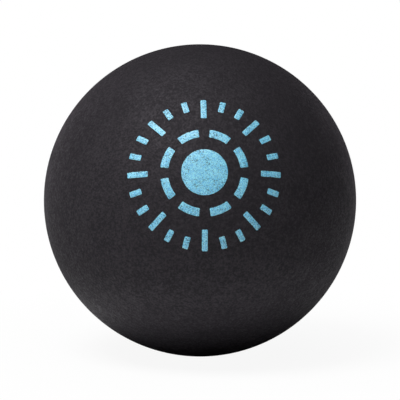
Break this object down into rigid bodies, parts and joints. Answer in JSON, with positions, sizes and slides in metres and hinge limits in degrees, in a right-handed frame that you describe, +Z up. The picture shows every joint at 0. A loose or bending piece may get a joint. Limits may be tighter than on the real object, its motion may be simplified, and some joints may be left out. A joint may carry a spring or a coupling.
{
  "type": "squash ball",
  "caption": "Hollow matt black rubber squash ball, two moulded half shells cemented rim to rim, stamped with a pale blue dial of ticks and dashes.",
  "frame": {"origin": "centre of the ball", "axes": "+Z up as the ball lies in the picture; +Y is the moulding axis of both half shells, from the printed front to the back, so the seam lies in the XZ plane; +X to the right of someone facing the print"},
  "size_m": [0.045, 0.045, 0.045],
  "materials": {
    "buffed_rubber": "vulcanised black rubber, buffed to an even matt skin with a fine grain",
    "rubber_cement": "cured rubber solution, darker and a little glossier than the shells",
    "stamping_ink": "pale blue stamped ink, satin, with pinholes where the rubber's grain shows through"
  },
  "bodies": {
    "root": {"front_half_shell": "buffed_rubber", "rear_half_shell": "buffed_rubber", "seam_cement": "rubber_cement", "stamp_disc": "stamping_ink", "stamp_dashes": "stamping_ink", "stamp_ticks": "stamping_ink", "speed_dot": "stamping_ink"}
  },
  "joints": []
}
